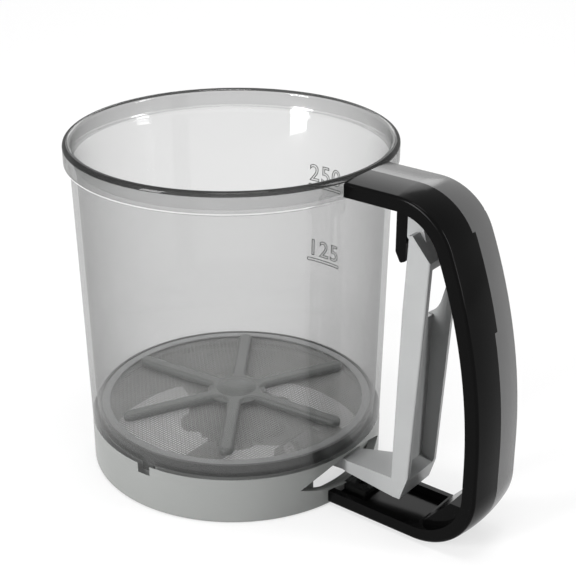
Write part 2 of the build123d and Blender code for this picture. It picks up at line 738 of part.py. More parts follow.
with BuildPart() as handle_blank:
    add(strap_solid)
    # bracket in front of the trigger's neck
    with BuildSketch(Plane.XZ) as bracket:
        with BuildLine():
            Polyline(
                (bracket_front, arm_under_z + 1),
                (bracket_front, bracket_foot_z + 3.4),
                (bracket_front + 1.8, bracket_foot_z),
                (bracket_back, bracket_foot_z + 0.9),
                (bracket_back, arm_under_z + 1),
                close=True,
            )
        make_face()
        fillet(bracket.vertices().sort_by(Axis.Y)[:3], 0.7)
    extrude(amount=bracket_half_width, both=True)
    # block that stops the trigger
    with BuildSketch(Plane.XZ):
        with BuildLine():
            Polyline(
                (stop_front, lower_arm_z - 0.8),
                (stop_front, lower_arm_z + 1.3),
                (stop_front + 9.6, stop_top),
                (stop_back, stop_top),
                (stop_back - 1.3, stop_top - 5.1),
                (stop_front + 4.9, lower_arm_z + 0.3),
                close=True,
            )
        make_face()
    extrude(amount=trigger_half_width, both=True)
    # trough along the lower arm
    with BuildSketch(Plane.XY.offset(trough_floor_z)):
        with Locations((band_radius - 5, 0)):
            Rectangle(trough_end - band_radius + 5, 2 * trough_half_width, align=(Align.MIN, Align.CENTER))
    extrude(amount=8, mode=Mode.SUBTRACT)
    # flat underside, clear of the table
    with BuildSketch(Plane.XY.offset(lower_arm_foot)):
        Rectangle(400, 60)
    extrude(amount=-20, mode=Mode.SUBTRACT)
    # ends follow the cup
    with BuildSketch(Plane.XY.offset(arm_under_z - 2)):
        Circle(rim_radius + fit_gap)
    extrude(amount=20, mode=Mode.SUBTRACT)
    with BuildSketch(Plane.XY):
        Circle(band_radius + fit_gap)
    extrude(amount=band_height, mode=Mode.SUBTRACT)
    # pocket for the trigger's neck and its spring
    pocket_top = pivot_z + barrel_radius + side_clearance
    with BuildSketch(Plane.XY.offset(arm_under_z - 1)):
        with Locations((pivot_x, 0)):
            Rectangle(2 * barrel_radius + 3.4, 2 * (neck_half_width + side_clearance))
        with Locations((pivot_x, neck_half_width + side_clearance)):
            Rectangle(2 * barrel_radius + 1.2, 3.4, align=(Align.CENTER, Align.MIN))
    extrude(amount=pocket_top - arm_under_z + 1, mode=Mode.SUBTRACT)
    with BuildSketch(Plane.XZ):
        with Locations((pivot_x, pivot_z)):
            Circle(pivot_pin_radius + 0.02)
    extrude(amount=handle_half_width - 1.8, both=True, mode=Mode.SUBTRACT)
    # room for the cup's upper lug
    with BuildSketch(Plane.XY.offset(upper_lug[0] - fit_gap)):
        with Locations((rim_radius - 2, 0)):
            Rectangle(lug_reach + 2 + fit_gap, 2 * (lug_half_width + fit_gap), align=(Align.MIN, Align.CENTER))
    extrude(amount=upper_lug[1] - upper_lug[0] + 2 * fit_gap, mode=Mode.SUBTRACT)
    # hole for the screw under the lower lug
    with BuildSketch(Plane.XY.offset(lower_arm_foot)):
        with Locations((lower_screw_x, 0)):
            Circle(screw_radius + fit_gap)
    extrude(amount=5, mode=Mode.SUBTRACT)

with BuildPart() as hollow:
    add(strap_cavity)
    with BuildSketch(Plane.XY.offset(cavity_low)):
        with Locations((grip_end[0], 0)):
            Rectangle(60, 60)
    extrude(amount=cavity_high - cavity_low, mode=Mode.INTERSECT)

# a narrow lip of the left shell laps over the seam on the back of the upper grip
lip_width = 1.5
lip_depth = 1.0
lip_low = pivot_z - 37.9
lip_high = pivot_z - 7.9
with BuildPart() as seam_lip:
    with BuildSketch(path_start):
        with BuildLine():
            Polyline(
                (0, handle_edge + handle_crown - lip_depth),
                (lip_width, handle_edge + handle_crown - lip_depth),
                (lip_width, handle_edge + handle_crown + 1),
                (0, handle_edge + handle_crown + 1),
                close=True,
            )
        make_face()
    sweep(path=handle_path.wire())
    with BuildSketch(Plane.XY.offset(lip_low)):
        with Locations((grip_end[0], 0)):
            Rectangle(40, 10)
    extrude(amount=lip_high - lip_low, mode=Mode.INTERSECT)

screw_bore_depth = handle_half_width - 2.0
head_pocket = 1.3

with BuildPart() as handle_right_shell:
    add(handle_blank.part)
    split(bisect_by=Plane.XZ, keep=Keep.BOTTOM)
    add(hollow.part, mode=Mode.SUBTRACT)
    add(seam_lip.part, mode=Mode.SUBTRACT)
    with BuildSketch(Plane.XZ):
        with Locations(*side_screws):
            Circle(screw_radius + fit_gap)
    extrude(amount=-handle_half_width, mode=Mode.SUBTRACT)
    with BuildSketch(Plane.XZ.offset(-handle_half_width)):
        with Locations(*side_screws):
            Circle(screw_head_radius + fit_gap)
    extrude(amount=head_pocket, mode=Mode.SUBTRACT)
save("handle_right_shell", handle_right_shell)

with BuildPart() as handle_left_shell:
    add(handle_blank.part)
    split(bisect_by=Plane.XZ, keep=Keep.TOP)
    add(hollow.part, mode=Mode.SUBTRACT)
    with BuildSketch(Plane.XZ):
        with Locations(*side_screws):
            Circle(screw_radius)
    extrude(amount=screw_bore_depth, mode=Mode.SUBTRACT)
    add(handle_blank.part & seam_lip.part)
save("handle_left_shell", handle_left_shell)

with BuildPart() as handle_screws:
    side_screw = screw(handle_half_width - head_pocket + screw_bore_depth - 0.5, screw_head_radius, 1.1)
    for x, z in side_screws:
        add(Pos(x, handle_half_width - head_pocket, z) * Rot(90, 0, 0) * side_screw)
save("handle_screws", handle_screws)

with BuildPart() as lug_screw:
    add(Pos(lower_screw_x, 0, lower_arm_foot) * screw(lower_lug[1] - lower_arm_foot, screw_head_radius, 0.9))
save("lug_screw", lug_screw)

with BuildPart() as pivot_pin:
    with BuildSketch(Plane.XZ):
        with Locations((pivot_x, pivot_z)):
            Circle(pivot_pin_radius)
    extrude(amount=handle_half_width - 1.9, both=True)
save("pivot_pin", pivot_pin)

with BuildPart() as return_spring:
    wire_radius = 0.25
    coil_radius = 1.6
    coil_turns = 4
    coil_pitch = 0.62
    coil_start = neck_half_width + side_clearance + 0.5
    coil_plane = Plane(origin=(pivot_x, coil_start, pivot_z), x_dir=(1, 0, 0), z_dir=(0, 1, 0))
    coil = coil_plane.location * Helix(coil_pitch, coil_pitch * coil_turns, coil_radius)
    with BuildSketch(Plane(origin=coil @ 0, z_dir=coil % 0)):
        Circle(wire_radius)
    sweep(path=coil, is_frenet=True)
save("return_spring", return_spring)

print(f"slide travel {slide_travel:.3f} mm, slide ratio {slide_ratio:.4f} mm/rad")
print(f"wheel ratio {slide_ratio / pitch_radius:.5f}, agitator turn {degrees(slide_travel / pitch_radius):.2f} deg")
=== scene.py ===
import math

import bmesh
import bpy
from bpy.props import FloatProperty, FloatVectorProperty, PointerProperty
from mathutils import Matrix, Vector


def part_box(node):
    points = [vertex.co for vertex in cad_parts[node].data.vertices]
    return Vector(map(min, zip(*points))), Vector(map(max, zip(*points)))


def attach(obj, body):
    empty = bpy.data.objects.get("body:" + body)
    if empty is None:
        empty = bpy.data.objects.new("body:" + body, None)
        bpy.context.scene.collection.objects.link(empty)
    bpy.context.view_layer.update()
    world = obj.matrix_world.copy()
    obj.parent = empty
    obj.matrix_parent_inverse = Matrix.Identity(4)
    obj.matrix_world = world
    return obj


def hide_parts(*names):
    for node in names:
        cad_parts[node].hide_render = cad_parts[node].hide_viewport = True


bl_info = {
    "name": "Flour sifter",
    "version": (1, 0, 0),
    "blender": (4, 5, 0),
    "location": "View3D > Sidebar > Sifter",
    "description": "Builds a hand flour sifter with a clear cup, a woven sieve and a trigger handle",
    "category": "Add Mesh",
}

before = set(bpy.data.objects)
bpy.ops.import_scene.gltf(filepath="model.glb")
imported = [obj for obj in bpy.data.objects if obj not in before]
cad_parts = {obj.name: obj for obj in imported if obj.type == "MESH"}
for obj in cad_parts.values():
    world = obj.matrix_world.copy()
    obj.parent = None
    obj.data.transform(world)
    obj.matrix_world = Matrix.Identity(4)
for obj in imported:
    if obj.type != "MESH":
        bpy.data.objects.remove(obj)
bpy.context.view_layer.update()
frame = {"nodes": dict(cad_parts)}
MM = 0.001
CUP_LOW, CUP_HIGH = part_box("cup_shell")
GASKET_LOW, GASKET_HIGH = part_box("sieve_gasket")
MESH_LOW, MESH_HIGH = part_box("sieve_mesh")
HOOP_LOW, HOOP_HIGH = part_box("hoop_upper")
LOWER_HOOP_LOW, LOWER_HOOP_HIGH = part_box("hoop_lower")
EYELET_LOW, EYELET_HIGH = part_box("mesh_eyelet")
KEY_ANGLES = (-87, 33, 153)
RING_BODY = 4.4 * MM  # height of the sieve ring above its seat
FOOT_ROUNDING = 1.3 * MM
COLLAR_HEIGHT = 3.6 * MM
COLLAR_STEP = 2.1 * MM  # from the rim in to the wall under the collar
BAND_INSET = 3.9 * MM  # from the rim in to the base band
WALL_FOOT_INSET = 4 * MM  # from the rim in to the foot of the wall
WALL_FOOT = 14 * MM
WALL_RUN = 93 * MM  # height of the tapered part of the wall
WALL_TAPER = 1.9 * MM
LUG_HALF_WIDTH = 4.5 * MM
LOWER_LUG_TOP = 6 * MM  # everything outside the band and below this is the lower lug
TROUGH_TOP = 26 * MM  # the handle's right half is black inside, below this
SCALE_MARKS = (("125", 56.8 * MM), ("250", 86.2 * MM))


# ------------------------------------------------------------------ sizes and colours
class SifterSizes(bpy.types.PropertyGroup):
    """Sizes a maker would change, on top of what the frame already fixes."""

    wall: FloatProperty(name="Wall", description="Thickness of the cup's wall", default=2 * MM, unit="LENGTH")
    band_wall: FloatProperty(
        name="Band wall", description="Thickness of the wall in the base band", default=2.9 * MM, unit="LENGTH"
    )
    band_height: FloatProperty(
        name="Band height", description="Height of the base band", default=14 * MM, unit="LENGTH"
    )
    bead_width: FloatProperty(
        name="Bead width", description="Width of the rim bead", default=2.9 * MM, unit="LENGTH"
    )
    bead_height: FloatProperty(
        name="Bead height", description="Height of the rim bead", default=7 * MM, unit="LENGTH"
    )
    clearness: FloatProperty(
        name="Clearness",
        description="Light that passes one face of the clear wall",
        default=0.87,
        subtype="FACTOR",
    )
    wire_pitch: FloatProperty(
        name="Wire pitch", description="Distance between the sieve's wires", default=1.0 * MM, unit="LENGTH"
    )
    wire_radius: FloatProperty(
        name="Wire radius", description="Radius of one sieve wire", default=0.19 * MM, unit="LENGTH"
    )
    digit_height: FloatProperty(
        name="Digit height", description="Height of the scale's digits", default=6.2 * MM, unit="LENGTH"
    )


class SifterColours(bpy.types.PropertyGroup):
    """Colours of the object's finishes."""

    smoke: FloatVectorProperty(
        name="Smoke", description="Clear plastic of the cup", default=(0.07, 0.072, 0.07), subtype="COLOR"
    )
    band: FloatVectorProperty(
        name="Band", description="Satin base band of the cup", default=(0.22, 0.226, 0.22), subtype="COLOR"
    )
    black: FloatVectorProperty(
        name="Black", description="Polished handle", default=(0.002, 0.002, 0.002), subtype="COLOR"
    )
    # Painted reflection: the right half's lighter grey stands in for the grey reflection that half of the
    # black handle shows.
    painted_reflection_grey: FloatVectorProperty(
        name="Dark smoke", description="Right half of the handle", default=(0.07, 0.07, 0.07), subtype="COLOR"
    )
    trigger: FloatVectorProperty(
        name="Trigger", description="Satin trigger", default=(0.27, 0.274, 0.274), subtype="COLOR"
    )
    star: FloatVectorProperty(
        name="Agitator", description="Satin agitator", default=(0.075, 0.078, 0.075), subtype="COLOR"
    )
    frame: FloatVectorProperty(
        name="Base frame", description="Satin base frame", default=(0.24, 0.25, 0.24), subtype="COLOR"
    )
    gasket: FloatVectorProperty(
        name="Sieve ring", description="Dark ring of the sieve", default=(0.012, 0.012, 0.012), subtype="COLOR"
    )
    steel: FloatVectorProperty(
        name="Steel", description="Bright drawn steel", default=(0.62, 0.62, 0.61), subtype="COLOR"
    )


# ------------------------------------------------------------------ shader expressions
class Flow:
    """A node socket that takes part in Python arithmetic."""

    def __init__(self, tree, socket):
        self.tree = tree
        self.socket = socket

    def maths(self, operation, *values):
        node = self.tree.nodes.new("ShaderNodeMath")
        node.operation = operation
        for slot, value in zip(node.inputs, values):
            if isinstance(value, Flow):
                self.tree.links.new(value.socket, slot)
            else:
                slot.default_value = value
        return Flow(self.tree, node.outputs[0])

    def __add__(self, other):
        return self.maths("ADD", self, other)

    def __radd__(self, other):
        return self.maths("ADD", other, self)

    def __sub__(self, other):
        return self.maths("SUBTRACT", self, other)

    def __rsub__(self, other):
        return self.maths("SUBTRACT", other, self)

    def __mul__(self, other):
        return self.maths("MULTIPLY", self, other)

    def __rmul__(self, other):
        return self.maths("MULTIPLY", other, self)

    def __truediv__(self, other):
        return self.maths("DIVIDE", self, other)

    def __rtruediv__(self, other):
        return self.maths("DIVIDE", other, self)

    def __pow__(self, other):
        return self.maths("POWER", self, other)

    def __rpow__(self, other):
        return self.maths("POWER", other, self)

    def limited(self, low=0.0, high=1.0):
        return self.maths("MINIMUM", self.maths("MAXIMUM", self, low), high)


class Finish:
    """A material under construction."""

    def __init__(self, name):
        self.material = bpy.data.materials.new(name)
        self.material.use_nodes = True
        self.tree = self.material.node_tree
        self.tree.nodes.clear()

    def node(self, kind, settings=None, **sockets):
        """Adds a node, makes its settings, then fills its sockets with values or links."""
        node = self.tree.nodes.new(kind)
        for key, value in (settings or {}).items():
            setattr(node, key, value)
        for key, value in sockets.items():
            by_number = key.startswith("in")
            socket = node.inputs[int(key[2:]) if by_number else key.replace("_", " ")]
            if isinstance(value, Flow):
                self.tree.links.new(value.socket, socket)
            elif hasattr(value, "outputs"):
                self.tree.links.new(value.outputs[0], socket)
            else:
                socket.default_value = value
        return node

    def flow(self, node, output=0):
        return Flow(self.tree, node.outputs[output])

    def place(self):
        """The point being shaded, in metres, as a socket that texture nodes take."""
        return Flow(self.tree, self.node("ShaderNodeTexCoord").outputs["Object"])

    def noise(self, scale, detail=2.0, roughness=0.5):
        sockets = {"Vector": self.place(), "Scale": scale, "Detail": detail, "Roughness": roughness}
        return self.flow(self.node("ShaderNodeTexNoise", **sockets))

    def tint(self, dark, light, factor):
        """A colour between two, by a factor that may vary."""
        colours_mixed = {"in6": (*dark, 1), "in7": (*light, 1)}
        node = self.node("ShaderNodeMix", {"data_type": "RGBA"}, Factor=factor, **colours_mixed)
        return Flow(self.tree, node.outputs[2])

    def surface(self, shader):
        self.node("ShaderNodeOutputMaterial", Surface=shader)
        return self.material


def shade(colour, gain):
    return tuple(min(1.0, channel * gain) for channel in colour)


def moulded(name, colour, roughness, grain, grain_scale, coat=0.0, specular=0.5):
    """Moulded plastic: a faint cloud in the colour, an uneven gloss and a fine skin."""
    finish = Finish(name)
    cloud = finish.noise(60, 3)
    skin = finish.noise(grain_scale, 2, 0.6)
    handled = finish.noise(25, 4, 0.65)
    bump = finish.node("ShaderNodeBump", Strength=grain, Distance=0.0002, Height=skin)
    shader = finish.node(
        "ShaderNodeBsdfPrincipled",
        Base_Color=finish.tint(shade(colour, 0.93), shade(colour, 1.07), cloud),
        Roughness=roughness * (0.85 + 0.3 * handled),
        Coat_Weight=coat,
        Coat_Roughness=0.05,
        Specular_IOR_Level=specular,
        Normal=finish.flow(bump),
    )
    return finish.surface(shader)


def drawn_steel(name, colour, roughness):
    """Bright steel with fine draw marks."""
    finish = Finish(name)
    marks = finish.noise(900, 2, 0.7)
    wear = finish.noise(80, 3)
    shader = finish.node(
        "ShaderNodeBsdfPrincipled",
        Base_Color=finish.tint(shade(colour, 0.85), shade(colour, 1.1), wear),
        Metallic=1.0,
        Roughness=roughness * (0.8 + 0.4 * marks),
    )
    return finish.surface(shader)


def smoke_plastic(name, colour, clearness, haze, gloss=1.0):
    """Clear smoke plastic. A ray along the wall crosses more of it, so edges look darker."""
    finish = Finish(name)
    facing = finish.flow(finish.node("ShaderNodeLayerWeight", Blend=0.5), 1)
    smear = finish.noise(30, 3, 0.6)
    path = 1.0 / (1.0 - 0.93 * facing)
    body = (1.0 - clearness**path).limited(0.0, 0.97)
    mirror = (gloss * (0.028 + 0.5 * facing**5)).limited(0.0, 0.9)
    grey = finish.node(
        "ShaderNodeBsdfPrincipled",
        Base_Color=finish.tint(shade(colour, 0.95), shade(colour, 1.05), smear),
        Roughness=haze,
        Specular_IOR_Level=0.0,
    )
    clear = finish.node("ShaderNodeBsdfTransparent", Color=(1, 1, 1, 1))
    inside = finish.node("ShaderNodeMixShader", in0=body, in1=clear, in2=grey)
    shine = finish.node("ShaderNodeBsdfAnisotropic", Color=(1, 1, 1, 1), Roughness=0.02 + 0.04 * smear)
    return finish.surface(finish.node("ShaderNodeMixShader", in0=mirror, in1=inside, in2=shine))


# ------------------------------------------------------------------ mesh helpers
def link(name, mesh, materials, body, replaced=(), crease=30):
    """Makes an object of a mesh, with its finish, body and the frame nodes it stands for."""
    piece = bpy.data.objects.new(name, mesh)
    bpy.context.scene.collection.objects.link(piece)
    for material in materials:
        mesh.materials.append(material)
    for face in mesh.polygons:
        face.use_smooth = True
    mesh.set_sharp_from_angle(angle=math.radians(crease))
    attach(piece, body)
    if replaced:
        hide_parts(*replaced)
    return piece


def rounded(points, radius, steps=5):
    """A closed outline with every corner rounded, as far as its two sides allow."""
    outline = []
    count = len(points)
    for index in range(count):
        here = Vector(points[index])
        before = Vector(points[index - 1]) - here
        after = Vector(points[(index + 1) % count]) - here
        reach = min(radius, before.length * 0.45, after.length * 0.45)
        start = here + before.normalized() * reach
        end = here + after.normalized() * reach
        for step in range(steps + 1):
            t = step / steps
            outline.append(start * (1 - t) ** 2 + here * 2 * t * (1 - t) + end * t**2)
    return outline


def grid(name, rows, around=True, along=True):
    """A mesh of quads between rows of points.

    around closes each row, and along joins the last row to the first.
    """
    mesh = bpy.data.meshes.new(name)
    width = len(rows[0])
    points = [tuple(point) for row in rows for point in row]
    faces = []
    for r in range(len(rows) if along else len(rows) - 1):
        for c in range(width if around else width - 1):
            a = r * width + c
            b = r * width + (c + 1) % width
            below = ((r + 1) % len(rows)) * width
            faces.append((a, b, below + (c + 1) % width, below + c))
    if around and not along:
        faces.append(tuple(range(width))[::-1])
        faces.append(tuple((len(rows) - 1) * width + c for c in range(width)))
    mesh.from_pydata(points, [], faces)
    mesh.validate()
    tidy_normals(mesh)
    return mesh


def tidy_normals(mesh):
    work = bmesh.new()
    work.from_mesh(mesh)
    bmesh.ops.remove_doubles(work, verts=work.verts, dist=1e-7)
    bmesh.ops.recalc_face_normals(work, faces=work.faces)
    work.to_mesh(mesh)
    work.free()


def lathe(name, outline, turns=256):
    """Turns a closed outline of (radius, height) round the Z axis."""
    rows = []
    for turn in range(turns):
        angle = 2 * math.pi * turn / turns
        rows.append([(p[0] * math.cos(angle), p[0] * math.sin(angle), p[1]) for p in outline])
    return grid(name, rows)


def prism(name, outline, low, high, plane="XY"):
    """A closed block from an outline of pairs, between two heights along the third axis."""

    def corner(pair, height):
        return (height, pair[0], pair[1]) if plane == "YZ" else (pair[0], pair[1], height)

    rows = [[corner(pair, low) for pair in outline], [corner(pair, high) for pair in outline]]
    return grid(name, rows, along=False)


def joined(name, meshes):
    """One mesh that holds several closed ones."""
    work = bmesh.new()
    for mesh in meshes:
        work.from_mesh(mesh)
    whole = bpy.data.meshes.new(name)
    work.to_mesh(whole)
    work.free()
    return whole


def cut(mesh, *tools):
    """The mesh with other closed meshes cut out of it."""
    target = bpy.data.objects.new("cut target", mesh)
    bpy.context.scene.collection.objects.link(target)
    helpers = []
    for tool in tools:
        helper = bpy.data.objects.new("cutter", tool)
        bpy.context.scene.collection.objects.link(helper)
        helpers.append(helper)
        modifier = target.modifiers.new("cut", "BOOLEAN")
        modifier.operation = "DIFFERENCE"
        modifier.solver = "EXACT"
        modifier.object = helper
    graph = bpy.context.evaluated_depsgraph_get()
    result = bpy.data.meshes.new_from_object(target.evaluated_get(graph))
    for helper in (target, *helpers):
        bpy.data.objects.remove(helper)
    return result


def refinish(node, material, bevel=0.0, crease=30):
    """Gives a frame node its finish, and soft edges where it asks for them."""
    piece = frame["nodes"][node]
    piece.data.materials.clear()
    piece.data.materials.append(material)
    for face in piece.data.polygons:
        face.use_smooth = True
        face.material_index = 0
    piece.data.set_sharp_from_angle(angle=math.radians(crease))
    if bevel:
        modifier = piece.modifiers.new("soft edges", "BEVEL")
        modifier.width = bevel
        modifier.segments = 3
        modifier.limit_method = "ANGLE"
        modifier.angle_limit = math.radians(crease)
        modifier.harden_normals = True
        modifier.use_clamp_overlap = True
    return piece


def sizes():
    return bpy.context.scene.sifter_sizes


def colours():
    return bpy.context.scene.sifter_colours


# ------------------------------------------------------------------ cup
def cup_outline():
    """The wall's section as (radius, height), from the frame's cup and the sizes panel."""
    size = sizes()
    top = CUP_HIGH.z
    rim = -CUP_LOW.x
    bead_low = top - size.bead_height
    collar_low = bead_low - COLLAR_HEIGHT
    body_top = rim - COLLAR_STEP
    band = rim - BAND_INSET
    body_foot = band - 0.1 * MM
    ledge = GASKET_HIGH.z - RING_BODY
    inner = rim - size.bead_width
    half = size.bead_width / 2
    outline = [(band - size.band_wall, ledge), (band - size.band_wall, 0)]
    outline += arc((band - FOOT_ROUNDING, FOOT_ROUNDING), FOOT_ROUNDING, -90, 0, 6)
    outline += [
        (band, size.band_height - 0.5 * MM),
        (band - 0.05 * MM, size.band_height - 0.1 * MM),
        (body_foot, size.band_height + 0.3 * MM),
        (body_foot, ledge - 0.2 * MM),
        (body_foot + 0.03 * MM, ledge + 0.3 * MM),
        (body_top, collar_low),
        (body_top + 0.5 * MM, bead_low - 0.9 * MM),
        (rim - 0.9 * MM, bead_low - 0.35 * MM),
        (rim - 0.45 * MM, bead_low - 0.3 * MM),
        (rim - 0.12 * MM, bead_low - 0.05 * MM),
        (rim, bead_low + 0.4 * MM),
    ]
    outline += arc((rim - half, top - half), half, 0, 180, 16)
    outline += [
        (inner, bead_low + 1.2 * MM),
        (inner - 0.2 * MM, bead_low + 0.4 * MM),
        (body_top - size.wall, collar_low),
        (band - size.wall, ledge),
    ]
    return outline


def arc(centre, radius, start, end, steps):
    """Points on an arc, by its angles in degrees."""
    points = []
    for step in range(steps + 1):
        angle = math.radians(start + (end - start) * step / steps)
        points.append((centre[0] + radius * math.cos(angle), centre[1] + radius * math.sin(angle)))
    return points


def lens(half_width, tip, low, high, steps=16):
    """A pointed outline between two shallow arcs."""
    upper = []
    lower = []
    for step in range(steps):
        t = -1 + 2 * step / steps
        upper.append((t * half_width, tip + (high - tip) * (1 - t * t)))
        lower.append((-t * half_width, tip + (low - tip) * (1 - t * t)))
    return upper + lower


def lug(reach_from, reach_to, half_width, low, high):
    outline = rounded(
        [
            (reach_from, -half_width),
            (reach_to, -half_width),
            (reach_to, half_width),
            (reach_from, half_width),
        ],
        0.6 * MM,
    )
    return prism("lug", outline, low, high)


class SIFTER_OT_cup(bpy.types.Operator):
    """Builds the clear cup with its rim bead, base band, slot and lugs"""

    bl_idname = "sifter.cup"
    bl_label = "Cup"

    def execute(self, context):
        size = sizes()
        smoke = colours().smoke
        wall = smoke_plastic("smoke plastic", smoke, size.clearness, 0.45)
        # Painted shade: a dark smoke for the lower lug, the outer top of the rim bead and the band's bottom
        # edge.
        edge = smoke_plastic("smoke plastic, dark rim", shade(smoke, 0.15), 0.1, 0.35, 0.5)
        thick = smoke_plastic("smoke plastic, rim bead", smoke, size.clearness * 0.84, 0.45)
        # Painted highlight: a near-white smoke for the line under the bead; its strong reflection is a real
        # gloss, pushed high.
        bright = smoke_plastic("smoke plastic, bright edge", (0.9, 0.9, 0.9), 0.9, 0.3, 9.0)
        band = smoke_plastic("smoke plastic, satin band", colours().band, 0.06, 0.38, 0.8)
        body = lathe("cup_body", cup_outline())
        slot = prism("slot", lens(22.5 * MM, 9.4 * MM, 4.9 * MM, 16 * MM), 38 * MM, 60 * MM, "YZ")
        body = cut(body, slot)
        rim_x = -CUP_LOW.x
        upper = lug(rim_x - 1.4 * MM, rim_x + 8.5 * MM, LUG_HALF_WIDTH, 113.3 * MM, 115.7 * MM)
        lower = lug(rim_x - 5.1 * MM, rim_x + 4.6 * MM, LUG_HALF_WIDTH, 3.05 * MM, 5 * MM)
        mesh = joined("cup_body", [body, upper, lower])
        link("cup_body", mesh, [wall, edge, bright, band, thick], "cup", ["cup_shell"], 35)
        half = size.bead_width / 2
        bead_low = CUP_HIGH.z - size.bead_height
        ledge = GASKET_HIGH.z - RING_BODY
        for face in mesh.polygons:
            spot = face.center
            reach = math.hypot(spot.x, spot.y)
            # Painted shade: the lower lug is dark smoke, standing in for the shadow under the trigger's arm.
            if spot.z < LOWER_LUG_TOP and reach > rim_x - 3.6 * MM:
                face.material_index = 1
                continue
            if reach > rim_x + 0.1 * MM:
                continue
            # Painted shade: the outer top of the rim bead is dark smoke, standing in for the bead's dark look
            # from light bending through it.
            if spot.z > CUP_HIGH.z - half and reach > rim_x - 1.15 * half:
                face.material_index = 1
            # Painted highlight: a white, strongly reflecting strip under the bead stands in for the collar's
            # highlight line.
            elif reach > rim_x - 1.3 * MM and abs(spot.z - bead_low) < 0.33 * MM:
                face.material_index = 2
            elif spot.z > bead_low:
                face.material_index = 4
            # Painted shadow: the band's bottom edge is dark smoke, standing in for the contact shadow on the
            # floor.
            elif spot.z < 0.35 * MM:
                face.material_index = 1
            elif spot.z < ledge + 0.1 * MM and not self.beside_key(spot):
                face.material_index = 3
        return {"FINISHED"}

    def beside_key(self, spot):
        """The wall stays clear in front of the sieve ring's keys."""
        if spot.z < GASKET_LOW.z - 0.3 * MM:
            return False
        around = math.degrees(math.atan2(spot.y, spot.x))
        return any(abs((around - angle + 180) % 360 - 180) < 3.3 for angle in KEY_ANGLES)


class SIFTER_OT_scale(bpy.types.Operator):
    """Draws the raised flour scale on the wall"""

    bl_idname = "sifter.scale"
    bl_label = "Flour scale"

    def execute(self, context):
        ink = moulded("scale line", (0.11, 0.115, 0.11), 0.3, 0.0, 300)
        for text, low in SCALE_MARKS:
            self.mark(text, low, ink)
        return {"FINISHED"}

    def mark(self, text, low, ink):
        size = sizes()
        curve = bpy.data.curves.new("digits", "FONT")
        curve.body = text
        curve.size = size.digit_height / 0.7
        curve.space_character = 1.12
        curve.align_x = "CENTER"
        curve.fill_mode = "NONE"
        curve.bevel_depth = 0.2 * MM
        curve.bevel_resolution = 2
        curve.resolution_u = 6
        writer = bpy.data.objects.new("writer", curve)
        bpy.context.scene.collection.objects.link(writer)
        graph = bpy.context.evaluated_depsgraph_get()
        digits = bpy.data.meshes.new_from_object(writer.evaluated_get(graph))
        bpy.data.objects.remove(writer)
        line = self.underline(7.3 * MM, -1.9 * MM)
        whole = joined(f"scale_{text}", [digits, line])
        for vertex in whole.vertices:
            x, z, out = vertex.co.x + 1.2 * MM, vertex.co.y + low, vertex.co.z
            radius = self.wall_radius(z) + out * 0.7
            angle = math.pi / 2 - x / radius
            vertex.co = (radius * math.cos(angle), radius * math.sin(angle), z)
        tidy_normals(whole)
        link(f"scale_{text}", whole, [ink], "cup")

    def wall_radius(self, height):
        """Inside of the wall at this height."""
        rim = -CUP_LOW.x
        share = (height - WALL_FOOT) / WALL_RUN
        return rim - WALL_FOOT_INSET + WALL_TAPER * share - sizes().wall

    def underline(self, half_length, height):
        """A long outline under the digits, drawn as a thin tube."""
        path = rounded(
            [
                (-half_length, height - 0.5 * MM),
                (half_length, height - 0.5 * MM),
                (half_length, height + 0.5 * MM),
                (-half_length, height + 0.5 * MM),
            ],
            0.3 * MM,
            3,
        )
        steps = []
        for index, point in enumerate(path):
            nearby = path[(index + 1) % len(path)]
            count = max(1, int((nearby - point).length / MM))
            steps += [point.lerp(nearby, k / count) for k in range(count)]
        rows = []
        for index, point in enumerate(steps):
            along = (steps[(index + 1) % len(steps)] - steps[index - 1]).normalized()
            side = Vector((-along.y, along.x))
            row = []
            for k in range(6):
                turn = 2 * math.pi * k / 6
                flat = point + side * (0.2 * MM * math.cos(turn))
                row.append((flat.x, flat.y, 0.2 * MM * math.sin(turn)))
            rows.append(row)
        return grid("underline", rows)


